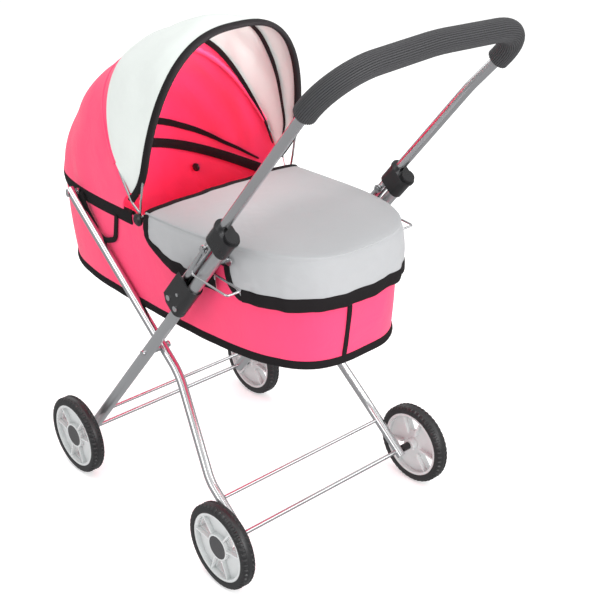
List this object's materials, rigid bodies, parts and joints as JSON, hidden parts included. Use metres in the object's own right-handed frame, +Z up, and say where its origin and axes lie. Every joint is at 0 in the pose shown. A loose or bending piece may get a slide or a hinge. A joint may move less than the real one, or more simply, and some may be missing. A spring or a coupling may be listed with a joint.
{
  "type": "doll stroller",
  "caption": "Folding doll stroller: a crossed tube frame on four wheels carries a soft carrycot with a folding hood, a foot apron and a fold-down handle.",
  "frame": {"origin": "on the floor, under the middle of the stroller's bounding box", "axes": "+Z up and the longest extent, -Y towards the hood end, +X to the left of the person who pushes it and the shortest extent"},
  "size_m": [0.378, 0.6972, 0.7301],
  "materials": {
    "bright_steel": "bright zinc or nickel plated steel tube, wire, rods, bolts and rivets",
    "leg_satin": "satin silver tube",
    "wheel_plastic": "light grey moulded rim",
    "tyre_foam": "black, matte, with a shallow tread",
    "cap_plastic": "dark grey",
    "black_plastic": "black moulded",
    "grip_foam": "dark grey ribbed foam sleeve",
    "pink_cloth": "bright pink woven nylon, lightly padded",
    "grey_cloth": "light silver grey woven nylon",
    "pale_cloth": "very pale grey coated nylon",
    "webbing": "black webbing",
    "board": "stiff board in a dark cover"
  },
  "bodies": {
    "front_frame": {"front_leg_left": "leg_satin", "front_leg_right": "leg_satin", "front_axle": "bright_steel", "front_brace": "bright_steel", "crossing_pivots": "bright_steel", "front_spacers": "black_plastic", "front_axle_clips": "bright_steel", "lower_bracket_left": "black_plastic", "lower_bracket_right": "black_plastic", "bracket_rivets": "bright_steel", "handle_pivots": "bright_steel", "rim_bolts": "bright_steel"},
    "rear_frame": {"rear_leg_left": "bright_steel", "rear_leg_right": "bright_steel", "rear_axle": "bright_steel", "rear_brace": "bright_steel", "rear_spacers": "black_plastic", "rear_axle_clips": "bright_steel", "leg_top_bolts": "bright_steel"},
    "handle": {"handle_tube": "bright_steel", "foam_grip": "grip_foam", "bail_bolts": "bright_steel"},
    "cot_foot": {"rim_wire_foot": "bright_steel", "tub_foot": "pink_cloth", "base_board": "board", "apron": "grey_cloth", "hood_knobs": "black_plastic"},
    "cot_head": {"rim_wire_head": "bright_steel", "tub_head": "pink_cloth", "strap_left": "webbing", "strap_right": "webbing", "hood_rear_panel": "pink_cloth"},
    "hood_middle": {"hood_middle_bow": "bright_steel", "hood_front_panel": "pale_cloth"},
    "hood_front": {"hood_front_bow": "bright_steel"},
    "wheel_front_left": {"wheel_rim_front_left": "wheel_plastic", "tyre_front_left": "tyre_foam", "hub_cap_front_left": "cap_plastic"},
    "wheel_rear_left": {"wheel_rim_rear_left": "wheel_plastic", "tyre_rear_left": "tyre_foam", "hub_cap_rear_left": "cap_plastic"},
    "slider_left": {"lock_slider_left": "black_plastic"},
    "bail_left": {"safety_bail_left": "bright_steel"},
    "wheel_front_right": {"wheel_rim_front_right": "wheel_plastic", "tyre_front_right": "tyre_foam", "hub_cap_front_right": "cap_plastic"},
    "wheel_rear_right": {"wheel_rim_rear_right": "wheel_plastic", "tyre_rear_right": "tyre_foam", "hub_cap_rear_right": "cap_plastic"},
    "slider_right": {"lock_slider_right": "black_plastic"},
    "bail_right": {"safety_bail_right": "bright_steel"}
  },
  "joints": [
    {"name": "frame_fold", "type": "hinge", "parent": "front_frame", "child": "rear_frame", "pos_m": [0, -0.04509, 0.25953], "axis": [-1, 0, 0], "range_deg": [0, 42]},
    {"name": "front_left_wheel_spin", "type": "hinge", "parent": "front_frame", "child": "wheel_front_left", "pos_m": [0, -0.221, 0.06], "axis": [1, 0, 0], "continuous": true},
    {"name": "front_right_wheel_spin", "type": "hinge", "parent": "front_frame", "child": "wheel_front_right", "pos_m": [0, -0.221, 0.06], "axis": [1, 0, 0], "continuous": true},
    {"name": "rear_left_wheel_spin", "type": "hinge", "parent": "rear_frame", "child": "wheel_rear_left", "pos_m": [0, 0.143, 0.06], "axis": [1, 0, 0], "continuous": true},
    {"name": "rear_right_wheel_spin", "type": "hinge", "parent": "rear_frame", "child": "wheel_rear_right", "pos_m": [0, 0.143, 0.06], "axis": [1, 0, 0], "continuous": true},
    {"name": "handle_fold", "type": "hinge", "parent": "front_frame", "child": "handle", "pos_m": [0, 0.02879, 0.36904], "axis": [1, 0, 0], "range_deg": [0, 80], "deforming": ["safety_bail_left", "safety_bail_right"]},
    {"name": "left_lock_slide", "type": "slide", "parent": "handle", "child": "slider_left", "axis": [0, 0.6613, 0.7501], "range_m": [0, 0.045]},
    {"name": "right_lock_slide", "type": "slide", "parent": "handle", "child": "slider_right", "axis": [0, 0.6613, 0.7501], "range_m": [0, 0.045]},
    {"name": "left_bail_swing", "type": "hinge", "parent": "handle", "child": "bail_left", "pos_m": [0, 0.10815, 0.45905], "axis": [1, 0, 0], "range_deg": [0, 25]},
    {"name": "right_bail_swing", "type": "hinge", "parent": "handle", "child": "bail_right", "pos_m": [0, 0.10815, 0.45905], "axis": [1, 0, 0], "range_deg": [0, 25]},
    {"name": "cot_foot_fold", "type": "hinge", "parent": "front_frame", "child": "cot_foot", "pos_m": [0, 0.11225, 0.438], "axis": [-1, 0, 0], "range_deg": [0, 80], "deforming": ["tub_foot", "tub_head", "base_board", "apron"]},
    {"name": "cot_head_fold", "type": "hinge", "parent": "cot_foot", "child": "cot_head", "pos_m": [0, -0.062, 0.442], "axis": [1, 0, 0], "range_deg": [0, 115]},
    {"name": "hood_fold", "type": "hinge", "parent": "cot_head", "child": "hood_middle", "pos_m": [0, -0.062, 0.442], "axis": [1, 0, 0], "range_deg": [0, 43], "deforming": ["hood_rear_panel", "hood_front_panel"]},
    {"name": "hood_front_fold", "type": "hinge", "parent": "hood_middle", "child": "hood_front", "pos_m": [0, -0.062, 0.442], "axis": [1, 0, 0], "range_deg": [0, 37]}
  ],
  "couplings": [
    {"joint": "cot_foot_fold", "follows": "frame_fold", "ratio": 1.86},
    {"joint": "cot_head_fold", "follows": "frame_fold", "ratio": 2.7},
    {"joint": "hood_front_fold", "follows": "hood_fold", "ratio": 0.8605},
    {"joint": "right_lock_slide", "follows": "left_lock_slide", "ratio": 1},
    {"joint": "right_bail_swing", "follows": "left_bail_swing", "ratio": 1}
  ]
}
